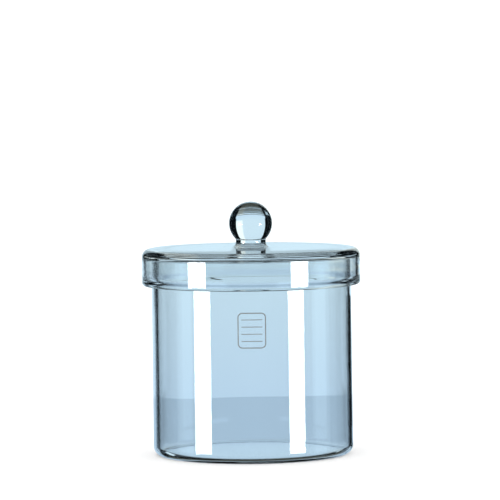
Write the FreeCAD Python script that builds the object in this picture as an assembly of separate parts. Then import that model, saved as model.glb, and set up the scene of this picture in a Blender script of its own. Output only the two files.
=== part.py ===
import FreeCAD, Part
import math
import os

# A covered specimen jar in clear tube glass. The vessel is a straight cylinder with a flat
# base. A loose flat lid rests on its rim, with a skirt that hangs down outside the wall and a
# solid ball knob fused to its middle. A thin fired-enamel writing panel is on the front.
# Millimetres, +Z up, -Y is the front, origin at the centre of the base.

# Vessel
JAR_DIAMETER = 100.0
JAR_WALL = 2.2
JAR_HEIGHT = 100.0
FLOOR_THICKNESS = 2.0
HEEL_RADIUS = 4.4
INNER_HEEL_RADIUS = 2.8

# Lid
LID_DIAMETER = 109.6
LID_WALL = 1.9
LID_PLATE = 3.5
LID_CROWN = 0.5
LID_SEAT_GAP = 0.2
LID_HEIGHT = 18.3
LID_SHOULDER_RADIUS = 4.0
LID_INNER_CORNER_RADIUS = 1.6
SKIRT_BEAD_RADIUS = 1.5
SKIRT_BEAD_RUN = 2.2

# Knob
BALL_DIAMETER = 21.8
BALL_CENTRE_ABOVE_CROWN = 11.9
NECK_DIAMETER = 15.1
NECK_UPPER_FILLET = 1.6
NECK_FOOT_FILLET = 2.2
NECK_FOOT_LAND = 0.3

# Enamel writing panel
PANEL_WIDTH = 14.0
PANEL_HEIGHT = 17.6
PANEL_CENTRE_HEIGHT = 66.0
PANEL_CORNER_RADIUS = 2.4
PANEL_FILM = 0.12
BORDER_STROKE = 0.55
RULE_STROKE = 0.4
RULE_COUNT = 4
RULE_END_MARGIN = 1.9

# Places worked out from the sizes above
JAR_OUTER_RADIUS = JAR_DIAMETER / 2
JAR_INNER_RADIUS = JAR_OUTER_RADIUS - JAR_WALL
LID_OUTER_RADIUS = LID_DIAMETER / 2
LID_INNER_RADIUS = LID_OUTER_RADIUS - LID_WALL
LID_UNDERSIDE = JAR_HEIGHT + LID_SEAT_GAP
LID_TOP = LID_UNDERSIDE + LID_PLATE
CROWN_TOP = LID_TOP + LID_CROWN
SKIRT_BOTTOM = LID_TOP - LID_HEIGHT
FOOT_RADIUS = NECK_DIAMETER / 2 + NECK_FOOT_FILLET

SAME_POINT = 1e-6
ORIGIN = FreeCAD.Vector(0, 0, 0)
Z_AXIS = FreeCAD.Vector(0, 0, 1)


def at(radius, height):
    """A point of a turned profile."""
    return FreeCAD.Vector(radius, 0, height)


def arc(centre, radius, start_degrees, end_degrees):
    """An arc of a turned profile, with its angles counted up from the outward radius."""
    points = []
    for degrees in (start_degrees, (start_degrees + end_degrees) / 2, end_degrees):
        angle = math.radians(degrees)
        points.append(centre + at(radius * math.cos(angle), radius * math.sin(angle)))
    return Part.Arc(*points).toShape()


def ends(step):
    """First and last point of one step of an outline, which is an arc or a corner."""
    if isinstance(step, Part.Shape):
        return step.firstVertex().Point, step.lastVertex().Point
    return step, step


def outline(steps):
    """Closed wire through arcs and corner points, with straight lines across the gaps."""
    edges = []
    for step, following in zip(steps, steps[1:] + steps[:1]):
        if isinstance(step, Part.Shape):
            edges.append(step)
        start = ends(step)[1]
        end = ends(following)[0]
        if start.distanceToPoint(end) > SAME_POINT:
            edges.append(Part.makeLine(start, end))
    return Part.Wire(edges)


def turned(steps):
    """Solid of revolution about the vertical axis."""
    return Part.Face(outline(steps)).revolve(ORIGIN, Z_AXIS, 360)


def jar_body():
    """Vessel: flat base, rounded heel, straight wall, fire-polished rim."""
    rim_radius = JAR_WALL / 2
    rim_centre = at(JAR_OUTER_RADIUS - rim_radius, JAR_HEIGHT - rim_radius)
    heel_centre = at(JAR_OUTER_RADIUS - HEEL_RADIUS, HEEL_RADIUS)
    inner_heel_centre = at(
        JAR_INNER_RADIUS - INNER_HEEL_RADIUS,
        FLOOR_THICKNESS + INNER_HEEL_RADIUS,
    )
    return turned([
        at(0, 0),
        arc(heel_centre, HEEL_RADIUS, -90, 0),
        arc(rim_centre, rim_radius, 0, 180),
        arc(inner_heel_centre, INNER_HEEL_RADIUS, 0, -90),
        at(0, FLOOR_THICKNESS),
    ])


def lid_cap():
    """Lid: plate that rises slightly to the knob's seat, shoulder, skirt with a rounded bead."""
    shoulder_centre = at(LID_OUTER_RADIUS - LID_SHOULDER_RADIUS, LID_TOP - LID_SHOULDER_RADIUS)
    bead_centre = at(LID_OUTER_RADIUS - SKIRT_BEAD_RADIUS, SKIRT_BOTTOM + SKIRT_BEAD_RADIUS)
    inner_corner_centre = at(
        LID_INNER_RADIUS - LID_INNER_CORNER_RADIUS,
        LID_UNDERSIDE - LID_INNER_CORNER_RADIUS,
    )
    return turned([
        at(0, LID_UNDERSIDE),
        at(0, CROWN_TOP),
        at(FOOT_RADIUS, CROWN_TOP),
        arc(shoulder_centre, LID_SHOULDER_RADIUS, 90, 0),
        arc(bead_centre, SKIRT_BEAD_RADIUS, 0, -180),
        at(LID_INNER_RADIUS, bead_centre.z + SKIRT_BEAD_RUN),
        arc(inner_corner_centre, LID_INNER_CORNER_RADIUS, 0, 90),
    ])


def lid_knob():
    """Knob: a ball on a short neck that spreads into a foot where it is fused to the lid."""
    ball_radius = BALL_DIAMETER / 2
    neck_radius = NECK_DIAMETER / 2
    ball_centre = at(0, CROWN_TOP + BALL_CENTRE_ABOVE_CROWN)

    # The upper fillet touches both the neck and the ball, so its centre is found from the
    # distance between the two arc centres.
    upper_out = neck_radius + NECK_UPPER_FILLET
    upper_drop = math.sqrt((ball_radius + NECK_UPPER_FILLET) ** 2 - upper_out ** 2)
    upper_centre = ball_centre + at(upper_out, -upper_drop)
    touch_degrees = math.degrees(math.atan2(upper_drop, upper_out))

    foot_centre = at(FOOT_RADIUS, CROWN_TOP + NECK_FOOT_LAND + NECK_FOOT_FILLET)
    return turned([
        at(0, CROWN_TOP),
        at(FOOT_RADIUS, CROWN_TOP),
        arc(foot_centre, NECK_FOOT_FILLET, 270, 180),
        arc(upper_centre, NECK_UPPER_FILLET, 180, 180 - touch_degrees),
        arc(ball_centre, ball_radius, -touch_degrees, 90),
    ])


def rounded_plate(width, height, corner_radius):
    """Upright plate with rounded corners, centred on the panel and reaching out to the front."""
    reach = JAR_DIAMETER
    corner = FreeCAD.Vector(-width / 2, -reach, PANEL_CENTRE_HEIGHT - height / 2)
    plate = Part.makeBox(width, reach, height, corner)
    upright = [edge for edge in plate.Edges if abs(edge.tangentAt(edge.FirstParameter).y) > 0.99]
    return plate.makeFillet(corner_radius, upright)


def panel_border():
    """Frame of the panel: a plate with a smaller plate cut out of it."""
    outer = rounded_plate(PANEL_WIDTH, PANEL_HEIGHT, PANEL_CORNER_RADIUS)
    inner = rounded_plate(
        PANEL_WIDTH - 2 * BORDER_STROKE,
        PANEL_HEIGHT - 2 * BORDER_STROKE,
        PANEL_CORNER_RADIUS - BORDER_STROKE,
    )
    return outer.cut(inner)


def panel_rules():
    """Ruled writing lines inside the frame, evenly spaced."""
    length = PANEL_WIDTH - 2 * RULE_END_MARGIN
    pitch = PANEL_HEIGHT / (RULE_COUNT + 1)
    lowest = PANEL_CENTRE_HEIGHT - PANEL_HEIGHT / 2
    rules = []
    for number in range(1, RULE_COUNT + 1):
        corner = FreeCAD.Vector(
            -length / 2,
            -JAR_DIAMETER,
            lowest + number * pitch - RULE_STROKE / 2,
        )
        rules.append(Part.makeBox(length, JAR_DIAMETER, RULE_STROKE, corner))
    return rules


def marking_panel():
    """Enamel film: the flat artwork carried on to a thin sleeve around the vessel's wall."""
    bottom = at(0, PANEL_CENTRE_HEIGHT - PANEL_HEIGHT)
    sleeve = Part.makeCylinder(JAR_OUTER_RADIUS + PANEL_FILM, 2 * PANEL_HEIGHT, bottom)
    sleeve = sleeve.cut(Part.makeCylinder(JAR_OUTER_RADIUS, 2 * PANEL_HEIGHT, bottom))
    strokes = [panel_border()] + panel_rules()
    films = [sleeve.common(stroke) for stroke in strokes]
    return Part.makeCompound([solid for film in films for solid in film.Solids])


NODES = {
    "jar_body": jar_body,
    "lid_cap": lid_cap,
    "lid_knob": lid_knob,
    "marking_panel": marking_panel,
}


def main():
    os.makedirs("parts", exist_ok=True)
    for name, make in NODES.items():
        make().exportStep("parts/" + name + ".step")


main()
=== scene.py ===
import math

import bpy
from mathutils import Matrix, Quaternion, Vector, noise


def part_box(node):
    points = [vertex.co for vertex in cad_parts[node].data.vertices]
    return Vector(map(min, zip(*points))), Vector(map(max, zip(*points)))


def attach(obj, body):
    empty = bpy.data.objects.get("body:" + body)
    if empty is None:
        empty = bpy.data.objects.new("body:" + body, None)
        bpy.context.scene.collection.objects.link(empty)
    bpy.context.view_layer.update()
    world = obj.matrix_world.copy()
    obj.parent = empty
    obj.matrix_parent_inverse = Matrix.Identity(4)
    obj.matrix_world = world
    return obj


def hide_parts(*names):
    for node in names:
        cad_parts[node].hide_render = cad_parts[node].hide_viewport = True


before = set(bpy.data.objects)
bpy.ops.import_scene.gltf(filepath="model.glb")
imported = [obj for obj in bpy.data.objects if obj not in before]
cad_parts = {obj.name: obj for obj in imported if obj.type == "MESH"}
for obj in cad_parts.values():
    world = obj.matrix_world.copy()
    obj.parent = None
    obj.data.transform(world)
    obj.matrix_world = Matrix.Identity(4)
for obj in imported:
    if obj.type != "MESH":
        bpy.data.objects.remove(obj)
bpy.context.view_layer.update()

# A clear glass specimen jar with a loose lid, in metres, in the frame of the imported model.
# -Y is the front, +Z is up.

MM = 0.001

# Sizes that the frame gives
jar_low, jar_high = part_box("jar_body")
lid_low, lid_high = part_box("lid_cap")
knob_low, knob_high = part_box("lid_knob")

JAR_RADIUS = jar_high.x
JAR_TOP = jar_high.z
LID_RADIUS = lid_high.x
CROWN_TOP = lid_high.z
SKIRT_BOTTOM = lid_low.z
KNOB_TOP = knob_high.z
BALL_RADIUS = knob_high.x

# Sizes inside the glass, which no box shows
JAR_WALL = 2.2 * MM
JAR_FLOOR = 2.0 * MM
HEEL_RADIUS = 4.4 * MM
INNER_HEEL_RADIUS = 2.8 * MM
LID_CROWN = 0.5 * MM
LID_TOP = CROWN_TOP - LID_CROWN
LID_WALL = 1.9 * MM
LID_PLATE = 3.5 * MM
LID_UNDERSIDE = LID_TOP - LID_PLATE
SHOULDER_RADIUS = 4.0 * MM
INNER_CORNER_RADIUS = 1.6 * MM
BEAD_RADIUS = 1.5 * MM
BEAD_RUN = 2.2 * MM
NECK_RADIUS = 7.55 * MM
NECK_UPPER_FILLET = 1.6 * MM
NECK_FOOT_FILLET = 2.2 * MM

# Unevenness of hand-finished glass
BORE_SHIFT = 0.45 * MM
BORE_TRIM = -0.1 * MM
BORE_WAVE = 0.05 * MM
BORE_WAVES_ACROSS = 1.6
BORE_WAVE_RISE = 35 * MM
JAR_LEAN = 0.35 * MM
LID_BORE_SHIFT = -0.15 * MM
SKIRT_RING_PITCH = 3.7 * MM
SKIRT_RING_HEIGHT = 0.03 * MM
SKIRT_RING_SHARE_OUTSIDE = 0.35
SKIRT_RING_DRIFT = 3
SKIRT_RING_FADE = 3 * MM
DRIFT_WAVES_ACROSS = 1.3
DRIFT_SLICE = 5
PLATE_WARP = 0.03 * MM
PLATE_WARP_SIZE = 26 * MM
PLATE_WARP_SLICE = 7
PLATE_WARP_START = 14 * MM
PLATE_WARP_FADE = 12 * MM

# Mesh density
TURN_STEPS = 360
ARC_STEP_DEGREES = 6
RING_PITCH = 1.0 * MM


# Profiles: lists of (radius, height, inner), where inner runs from 0 on the outer surface of
# the glass to 1 on its inner surface.

def arc(centre, radius, start, end, inner=(0, 0)):
    """Points along an arc of a profile, angles in degrees up from the outward radius."""
    steps = max(2, round(abs(end - start) / ARC_STEP_DEGREES))
    points = []
    for step in range(steps + 1):
        share = step / steps
        angle = math.radians(start + (end - start) * share)
        points.append((
            centre[0] + radius * math.cos(angle),
            centre[1] + radius * math.sin(angle),
            inner[0] + (inner[1] - inner[0]) * share,
        ))
    return points


def with_rings(corners):
    """The profile with its straight runs divided into short ones."""
    points = [corners[0]]
    for end in corners[1:]:
        start = points[-1]
        pieces = max(1, round(math.dist(start[:2], end[:2]) / RING_PITCH))
        for piece in range(1, pieces + 1):
            share = piece / pieces
            points.append(tuple(a + (b - a) * share for a, b in zip(start, end)))
    return points


def turned(name, profile, unevenness):
    """Mesh object turned about +Z from a profile that starts and ends on the axis."""
    rings = profile[1:-1]
    vertices = [(0, 0, profile[0][1])]
    for radius, height, inner in rings:
        for step in range(TURN_STEPS):
            angle = 2 * math.pi * step / TURN_STEPS
            out, up = unevenness(radius, height, inner, angle)
            reach = radius + out
            vertices.append((reach * math.cos(angle), reach * math.sin(angle), height + up))
    vertices.append((0, 0, profile[-1][1]))
    faces = []
    last = 1 + (len(rings) - 1) * TURN_STEPS
    for step in range(TURN_STEPS):
        following = (step + 1) % TURN_STEPS
        faces.append((0, 1 + following, 1 + step))
        for ring in range(len(rings) - 1):
            low = 1 + ring * TURN_STEPS
            high = low + TURN_STEPS
            faces.append((low + step, low + following, high + following, high + step))
        faces.append((last + step, last + following, len(vertices) - 1))
    return mesh_object(name, vertices, faces)


def mesh_object(name, vertices, faces):
    mesh = bpy.data.meshes.new(name)
    mesh.from_pydata(vertices, [], faces)
    mesh.validate()
    mesh.shade_smooth()
    piece = bpy.data.objects.new(name, mesh)
    bpy.context.scene.collection.objects.link(piece)
    return piece


def jar_profile():
    rim = JAR_WALL / 2
    bore = JAR_RADIUS - JAR_WALL
    heel = (JAR_RADIUS - HEEL_RADIUS, HEEL_RADIUS)
    inner_heel = (bore - INNER_HEEL_RADIUS, JAR_FLOOR + INNER_HEEL_RADIUS)
    points = [(0, 0, 0)]
    points += arc(heel, HEEL_RADIUS, -90, 0)
    points += arc((JAR_RADIUS - rim, JAR_TOP - rim), rim, 0, 180, inner=(0, 1))
    points += arc(inner_heel, INNER_HEEL_RADIUS, 0, -90, inner=(1, 1))
    points += [(0, JAR_FLOOR, 0)]
    return with_rings(points)


def jar_unevenness(radius, height, inner, angle):
    """The bore sits a little to the right and is slightly wavy. The right side leans out."""
    side = math.cos(angle)
    lean = JAR_LEAN * max(0, side) * max(0, 1 - height / JAR_TOP) * min(1, radius / JAR_RADIUS)
    waves = BORE_WAVES_ACROSS
    place = Vector((waves * side, waves * math.sin(angle), height / BORE_WAVE_RISE))
    wave = BORE_WAVE * noise.noise(place)
    return lean + inner * (BORE_SHIFT * side + BORE_TRIM + wave), 0


def lid_profile():
    """Lid and knob are one piece of glass: the foot of the knob runs into the plate."""
    bore = LID_RADIUS - LID_WALL
    corner = (bore - INNER_CORNER_RADIUS, LID_UNDERSIDE - INNER_CORNER_RADIUS)
    bead = (LID_RADIUS - BEAD_RADIUS, SKIRT_BOTTOM + BEAD_RADIUS)
    shoulder = (LID_RADIUS - SHOULDER_RADIUS, LID_TOP - SHOULDER_RADIUS)
    foot = (NECK_RADIUS + NECK_FOOT_FILLET, CROWN_TOP + NECK_FOOT_FILLET)
    ball = (0, KNOB_TOP - BALL_RADIUS)
    # the upper fillet touches the neck and the ball
    neck_out = NECK_RADIUS + NECK_UPPER_FILLET
    neck_drop = math.sqrt((BALL_RADIUS + NECK_UPPER_FILLET) ** 2 - neck_out ** 2)
    touch = math.degrees(math.atan2(neck_drop, neck_out))

    points = [(0, LID_UNDERSIDE, 1)]
    points += arc(corner, INNER_CORNER_RADIUS, 90, 0, inner=(1, 1))
    points += [(bore, bead[1] + BEAD_RUN, 1)]
    points += arc(bead, BEAD_RADIUS, -180, 0, inner=(1, 0))
    points += arc(shoulder, SHOULDER_RADIUS, 0, 90)
    points += arc(foot, NECK_FOOT_FILLET, 270, 180)
    points += arc((neck_out, ball[1] - neck_drop), NECK_UPPER_FILLET, 180, 180 - touch)
    points += arc(ball, BALL_RADIUS, -touch, 90)[1:-1]
    points += [(0, KNOB_TOP, 0)]
    return with_rings(points)


def lid_unevenness(radius, height, inner, angle):
    """Tooling rings around the skirt and a slight warp of the plate. The knob is true."""
    side = math.cos(angle)
    across = math.sin(angle)
    skirt = min(1, max(0, (LID_UNDERSIDE - height) / SKIRT_RING_FADE))
    waves = DRIFT_WAVES_ACROSS
    drift = noise.noise(Vector((waves * side, waves * across, DRIFT_SLICE)))
    ring = math.sin(2 * math.pi * height / SKIRT_RING_PITCH + SKIRT_RING_DRIFT * drift)
    share = SKIRT_RING_SHARE_OUTSIDE + (1 - SKIRT_RING_SHARE_OUTSIDE) * inner
    out = skirt * SKIRT_RING_HEIGHT * ring * share
    out += skirt * inner * LID_BORE_SHIFT * side
    plate = 1 - skirt if height <= CROWN_TOP else 0
    spread = min(1, max(0, (radius - PLATE_WARP_START) / PLATE_WARP_FADE))
    place = Vector((radius * side, radius * across, 0)) / PLATE_WARP_SIZE
    place += Vector((0, 0, PLATE_WARP_SLICE + 2 * inner))
    return out, plate * spread * PLATE_WARP * noise.noise(place)


# Materials

class Graph:
    """Short forms for wiring the nodes of one material or world."""

    def __init__(self, owner):
        owner.use_nodes = True
        self.tree = owner.node_tree
        self.tree.nodes.clear()

    def node(self, kind, **settings):
        made = self.tree.nodes.new("ShaderNode" + kind)
        for name, value in settings.items():
            setattr(made, name, value)
        return made

    def put(self, socket, value):
        if isinstance(value, bpy.types.NodeSocket):
            self.tree.links.new(value, socket)
        elif isinstance(value, tuple) and socket.type == "RGBA":
            socket.default_value = (*value, 1)
        else:
            socket.default_value = value

    def end(self, kind, shader):
        """Closes the graph with an output node."""
        self.put(self.node(kind).inputs["Surface"], shader)

    def math(self, operation, *inputs, clamp=False):
        made = self.node("Math", operation=operation, use_clamp=clamp)
        for socket, value in zip(made.inputs, inputs):
            self.put(socket, value)
        return made.outputs[0]

    def product(self, *factors):
        result = factors[0]
        for factor in factors[1:]:
            result = self.math("MULTIPLY", result, factor)
        return result

    def ramp(self, value, low, high, to=(0, 1), kind="LINEAR"):
        made = self.node("MapRange", interpolation_type=kind)
        settings = zip(("Value", "From Min", "From Max", "To Min", "To Max"), (value, low, high, *to))
        for name, setting in settings:
            self.put(made.inputs[name], setting)
        return made.outputs[0]

    def step(self, value, edge, softness):
        """0 below the edge and 1 above it."""
        return self.ramp(value, edge - softness / 2, edge + softness / 2, kind="SMOOTHSTEP")

    def between(self, value, low, high, softness):
        rise = self.step(value, low, softness)
        return self.math("SUBTRACT", rise, self.step(value, high, softness))

    def patch(self, sideways, upwards, place):
        """1 inside a range of two values, each range with its own softness."""
        (left, right), side_softness, (low, high), up_softness = place
        across = self.between(sideways, left, right, side_softness)
        return self.product(across, self.between(upwards, low, high, up_softness))

    def mix(self, share, first, second):
        made = self.node("Mix", data_type="RGBA")
        for index, value in ((0, share), (6, first), (7, second)):
            self.put(made.inputs[index], value)
        return made.outputs[2]

    def noise(self, stretch, detail=2):
        """Noise in object space; stretch is how many grains fit in a metre along each axis."""
        where = self.node("TexCoord")
        grain = self.node("Mapping")
        self.put(grain.inputs["Vector"], where.outputs["Object"])
        self.put(grain.inputs["Scale"], stretch)
        made = self.node("TexNoise")
        self.put(made.inputs["Vector"], grain.outputs[0])
        self.put(made.inputs["Scale"], 1)
        self.put(made.inputs["Detail"], detail)
        return made.outputs[0]


GLASS_PALE = (0.965, 0.985, 0.995)
GLASS_CLEAR = (0.985, 0.995, 1.0)
GLASS_IOR = 1.473
TINT_GRAINS = (30, 30, 30)
SMUDGE_GRAINS = (45, 45, 45)
SMUDGE_ROUGHNESS = 0.03
STREAK_DEPTH = 0.01 * MM

ENAMEL_DARK = (0.15, 0.175, 0.185)
ENAMEL_PALE = (0.235, 0.26, 0.27)
ENAMEL_PINHOLE = (0.33, 0.38, 0.41)
ENAMEL_ROUGHNESS = (0.42, 0.62)
PATCH_GRAINS = (900, 900, 900)
PINHOLE_GRAINS = (2600, 2600, 2600)
MATT_GRAINS = (1400, 1400, 1400)


def glass_material(name, streaks):
    """Clear glass: faint uneven tint, a few softer patches, streaks left by the tooling."""
    material = bpy.data.materials.new(name)
    g = Graph(material)
    shader = g.node("BsdfPrincipled")
    g.put(shader.inputs["Base Color"], g.mix(g.noise(TINT_GRAINS), GLASS_PALE, GLASS_CLEAR))
    smudge = g.ramp(g.noise(SMUDGE_GRAINS, detail=4), 0.62, 0.78, to=(0, SMUDGE_ROUGHNESS))
    g.put(shader.inputs["Roughness"], smudge)
    g.put(shader.inputs["IOR"], GLASS_IOR)
    g.put(shader.inputs["Transmission Weight"], 1)
    bump = g.node("Bump")
    g.put(bump.inputs["Height"], g.noise(streaks))
    g.put(bump.inputs["Strength"], 0.5)
    g.put(bump.inputs["Distance"], STREAK_DEPTH)
    g.put(shader.inputs["Normal"], bump.outputs[0])
    g.end("OutputMaterial", shader.outputs[0])
    return material


def enamel_material():
    """Fired grey enamel: a little patchy, with pinholes and a matt surface."""
    material = bpy.data.materials.new("enamel_print")
    g = Graph(material)
    shader = g.node("BsdfPrincipled")
    patches = g.mix(g.noise(PATCH_GRAINS, detail=3), ENAMEL_DARK, ENAMEL_PALE)
    pinholes = g.step(g.noise(PINHOLE_GRAINS), 0.7, 0.06)
    g.put(shader.inputs["Base Color"], g.mix(pinholes, patches, ENAMEL_PINHOLE))
    g.put(shader.inputs["Roughness"], g.ramp(g.noise(MATT_GRAINS), 0.3, 0.7, to=ENAMEL_ROUGHNESS))
    g.end("OutputMaterial", shader.outputs[0])
    return material


def paint_material(name, colour):
    material = bpy.data.materials.new(name)
    g = Graph(material)
    shader = g.node("BsdfPrincipled")
    g.put(shader.inputs["Base Color"], colour)
    g.put(shader.inputs["Roughness"], 0.9)
    g.put(shader.inputs["Specular IOR Level"], 0)
    g.end("OutputMaterial", shader.outputs[0])
    return material


# Studio. The camera and the floor are in a white room. What the glass shows, through it and
# in its reflections, is the dark room of a glass photograph: a pale blue card close behind
# the jar, a pale table, and two strip lights in front.

ROOM_WHITE = (1.35, 1.35, 1.35)
DARK = (0.002, 0.003, 0.004)
FRONT = (0.02, 0.03, 0.04)
CARD_TOP = (0.66, 0.865, 0.98)
CARD_FOOT_SHADE = (0.58, 0.78, 0.96)
CARD_GLOW = (1.0, 1.15, 1.15)
TABLE = (0.45, 0.62, 0.78)
TABLE_NEAR = (0.08, 0.088, 0.075)
STRIP = (22.0, 21.0, 20.0)

CARD_BACK = 290 * MM
CARD_HALF = 172 * MM
CARD_HALF_ABOVE = 158 * MM
CARD_STEP_HEIGHT = 50 * MM
CARD_HEIGHT = 340 * MM
FLAG_BACK = 120 * MM
FLAG_INNER = 78 * MM
FLAG_OUTER = 150 * MM
FLAG_HEIGHT = 70 * MM
GLOW_HEIGHT = 76 * MM
GLOW_INNER = 70 * MM
GLOW_OUTER = 165 * MM
GLOW_SOFTNESS = 20 * MM
CARD_FADE_HEIGHT = 80 * MM

# Patches of the far room in degrees: azimuths, their softness, elevations, their softness
NEAR_TABLE_PATCH = ((-30, 30), 8, (-70, -24), 6)
FAR_TABLE_PATCH = ((-24, 15), 4, (-26, -2), 3)
SIDE_PATCH = ((78, 102), 3, (-12, 28), 3)
CORNER_PATCH = ((39, 51), 2, (-32, -20), 2)
REAR_PATCH = ((121, 149), 3, (-26, -9), 3)
SHEEN_PATCH = ((67, 77), 2, (-12, 28), 3)
SHEEN_STRENGTH = 0.3
OPEN_FROM_AZIMUTH = 78
OPEN_ELEVATIONS = (-95, 40)
OPEN_SOFTNESS = 3
BELOW_ELEVATION = -64
BELOW_SOFTNESS = 4
FRONT_AZIMUTH = 158
FRONT_SOFTNESS = 30
LEFT_STRIP = (-131.5, -110)
RIGHT_STRIP = (118, 138)
STRIP_SIDE_SOFTNESS = 0.6
STRIP_ELEVATIONS = (-8, 0.5)
STRIP_END_SOFTNESS = 1.5


def glass_room(g, glossy, through, straight):
    """Colour of the far room in each direction. Azimuth is 0 towards the back and positive
    to the right, elevation is positive upwards, both in degrees. Straight is 1 for light
    that the glass has only bent, and through is also 1 for light reflected on its way."""
    where = g.node("TexCoord")
    split = g.node("SeparateXYZ")
    g.put(split.inputs[0], where.outputs["Generated"])
    x, y, z = split.outputs
    azimuth = g.product(g.math("ARCTAN2", x, y), 180 / math.pi)
    elevation = g.product(g.math("ARCSINE", z), 180 / math.pi)
    aside = g.math("ABSOLUTE", azimuth)

    room = g.mix(g.patch(aside, elevation, NEAR_TABLE_PATCH), DARK, TABLE_NEAR)
    room = g.mix(g.patch(azimuth, elevation, FAR_TABLE_PATCH), room, TABLE)

    # Seen straight through the glass, the room is pale at the sides, behind the viewer and
    # below. It stays dark towards the back beside the card, which blackens the sides of the
    # knob.
    beside = g.step(aside, OPEN_FROM_AZIMUTH, OPEN_SOFTNESS)
    open_sides = g.product(beside, g.between(elevation, *OPEN_ELEVATIONS, OPEN_SOFTNESS), straight)
    above = g.step(elevation, BELOW_ELEVATION, BELOW_SOFTNESS)
    below = g.product(g.math("SUBTRACT", 1, above), straight)
    # smaller pale fields that light reflected inside the glass shows too
    sides = g.product(g.patch(aside, elevation, SIDE_PATCH), through)
    corners = g.product(g.patch(aside, elevation, CORNER_PATCH), through)
    rear = g.product(g.patch(aside, elevation, REAR_PATCH), through)
    sheen = g.product(g.patch(azimuth, elevation, SHEEN_PATCH), glossy, SHEEN_STRENGTH)
    fields = open_sides
    for field in (below, sides, corners, rear, sheen):
        fields = g.math("MAXIMUM", fields, field)
    room = g.mix(g.step(aside, FRONT_AZIMUTH, FRONT_SOFTNESS), room, FRONT)
    room = g.mix(fields, room, CARD_TOP)

    left = g.between(azimuth, *LEFT_STRIP, STRIP_SIDE_SOFTNESS)
    right = g.between(azimuth, *RIGHT_STRIP, STRIP_SIDE_SOFTNESS)
    height = g.between(elevation, *STRIP_ELEVATIONS, STRIP_END_SOFTNESS)
    return g.mix(g.product(g.math("ADD", left, right), height, glossy), room, STRIP)


def studio_world():
    world = bpy.data.worlds.new("studio")
    bpy.context.scene.world = world
    g = Graph(world)
    path = g.node("LightPath")
    through = path.outputs["Is Transmission Ray"]
    glossy = g.math("SUBTRACT", path.outputs["Is Glossy Ray"], through, clamp=True)
    lights_floor = g.math("GREATER_THAN", path.outputs["Diffuse Depth"], 0.5)
    in_glass = g.math("SUBTRACT", g.math("MAXIMUM", glossy, through), lights_floor, clamp=True)
    # the ray depth that a world reads is one more than the number of surfaces met
    reflections = g.math("SUBTRACT", path.outputs["Ray Depth"], path.outputs["Transmission Depth"])
    straight = g.product(through, g.math("LESS_THAN", reflections, 1.5))
    background = g.node("Background")
    room = glass_room(g, glossy, through, straight)
    g.put(background.inputs["Color"], g.mix(in_glass, ROOM_WHITE, room))
    g.end("OutputWorld", background.outputs[0])


def screen(name, left, right, top, back, colour):
    """Upright screen that only the glass sees. Its colour is one colour or makes nodes for it."""
    corners = [(left, back, 0), (right, back, 0), (right, back, top), (left, back, top)]
    piece = mesh_object(name, corners, [(0, 1, 2, 3)])
    material = bpy.data.materials.new(name)
    g = Graph(material)
    light = g.node("Emission")
    g.put(light.inputs["Color"], colour(g) if callable(colour) else colour)
    g.end("OutputMaterial", light.outputs[0])
    piece.data.materials.append(material)
    piece.visible_camera = False
    piece.visible_diffuse = False
    piece.visible_shadow = False


def painted_card_light(g):
    """Light of the pale blue card, painted as its emission: dimmer towards its foot, where less light
    falls (painted shade), narrower above, with a painted pool of white light (a soft glow) on the
    right.
    """
    where = g.node("NewGeometry")
    split = g.node("SeparateXYZ")
    g.put(split.inputs[0], where.outputs["Position"])
    x, y, z = split.outputs
    # painted shade: the card's light fades from the top colour down to a dimmer shaded colour at its
    # foot
    paint = g.mix(g.ramp(z, 0, CARD_FADE_HEIGHT), CARD_FOOT_SHADE, CARD_TOP)
    # painted pool of light: a soft white glow on the right of the card, above the glow height
    glow = g.between(x, GLOW_INNER, GLOW_OUTER, GLOW_SOFTNESS)
    glow = g.product(glow, g.step(z, GLOW_HEIGHT, GLOW_SOFTNESS))
    edge = g.step(g.math("ABSOLUTE", x), CARD_HALF_ABOVE, 4 * MM)
    cut = g.product(edge, g.step(z, CARD_STEP_HEIGHT, 12 * MM))
    return g.mix(cut, g.mix(glow, paint, CARD_GLOW), DARK)


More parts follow.
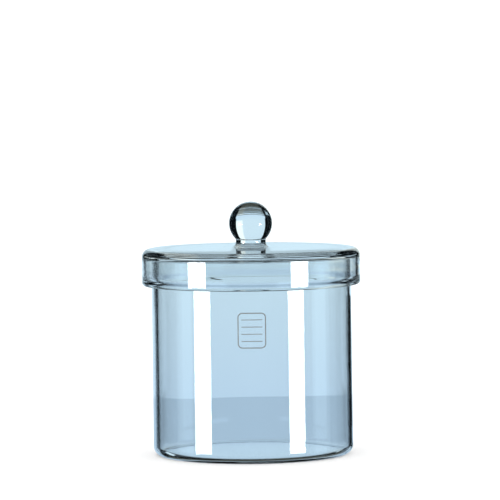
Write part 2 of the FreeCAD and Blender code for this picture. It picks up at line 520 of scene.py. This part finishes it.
FLOOR_RADIUS = 12
FLOOR_WHITE = (0.95, 0.95, 0.95)


def floor():
    turns = [math.radians(angle) for angle in range(0, 360, 3)]
    rim = [(FLOOR_RADIUS * math.cos(turn), FLOOR_RADIUS * math.sin(turn), 0) for turn in turns]
    plate = mesh_object("floor", rim, [tuple(range(len(rim)))])
    plate.data.materials.append(paint_material("floor_paint", FLOOR_WHITE))
    plate.visible_glossy = False
    plate.visible_transmission = False


CAMERA_DISTANCE = 1.86
CAMERA_HEIGHT = 0.212
AIM = (-0.00045, 0, 0.1026)
FIELD_WIDTH = 0.2506
ROLL_DEGREES = -0.68


def camera():
    data = bpy.data.cameras.new("camera")
    data.lens = data.sensor_width * CAMERA_DISTANCE / FIELD_WIDTH
    data.clip_end = 100
    eye = bpy.data.objects.new("camera", data)
    bpy.context.scene.collection.objects.link(eye)
    eye.location = (0, -CAMERA_DISTANCE, CAMERA_HEIGHT)
    look = (Vector(AIM) - eye.location).to_track_quat("-Z", "Y")
    eye.rotation_mode = "QUATERNION"
    eye.rotation_quaternion = look @ Quaternion((0, 0, 1), math.radians(ROLL_DEGREES))
    bpy.context.scene.camera = eye


# The jar
jar = turned("jar_glass", jar_profile(), jar_unevenness)
jar.data.materials.append(glass_material("jar_glass", (260, 260, 6)))
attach(jar, "jar")
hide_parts("jar_body")

lid = turned("lid_and_knob_glass", lid_profile(), lid_unevenness)
lid.data.materials.append(glass_material("lid_glass", (60, 60, 240)))
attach(lid, "lid")
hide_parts("lid_cap", "lid_knob")

enamel = enamel_material()
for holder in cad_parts["marking_panel"].material_slots:
    holder.material = enamel

# The studio
studio_world()
screen("back_card", -CARD_HALF, CARD_HALF, CARD_HEIGHT, CARD_BACK, painted_card_light)
screen("dark_flag", FLAG_INNER, FLAG_OUTER, FLAG_HEIGHT, FLAG_BACK, DARK)
floor()
camera()
scene = bpy.context.scene
scene.view_settings.view_transform = "Standard"
scene.cycles.max_bounces = 32
scene.cycles.transmission_bounces = 32
scene.cycles.glossy_bounces = 16
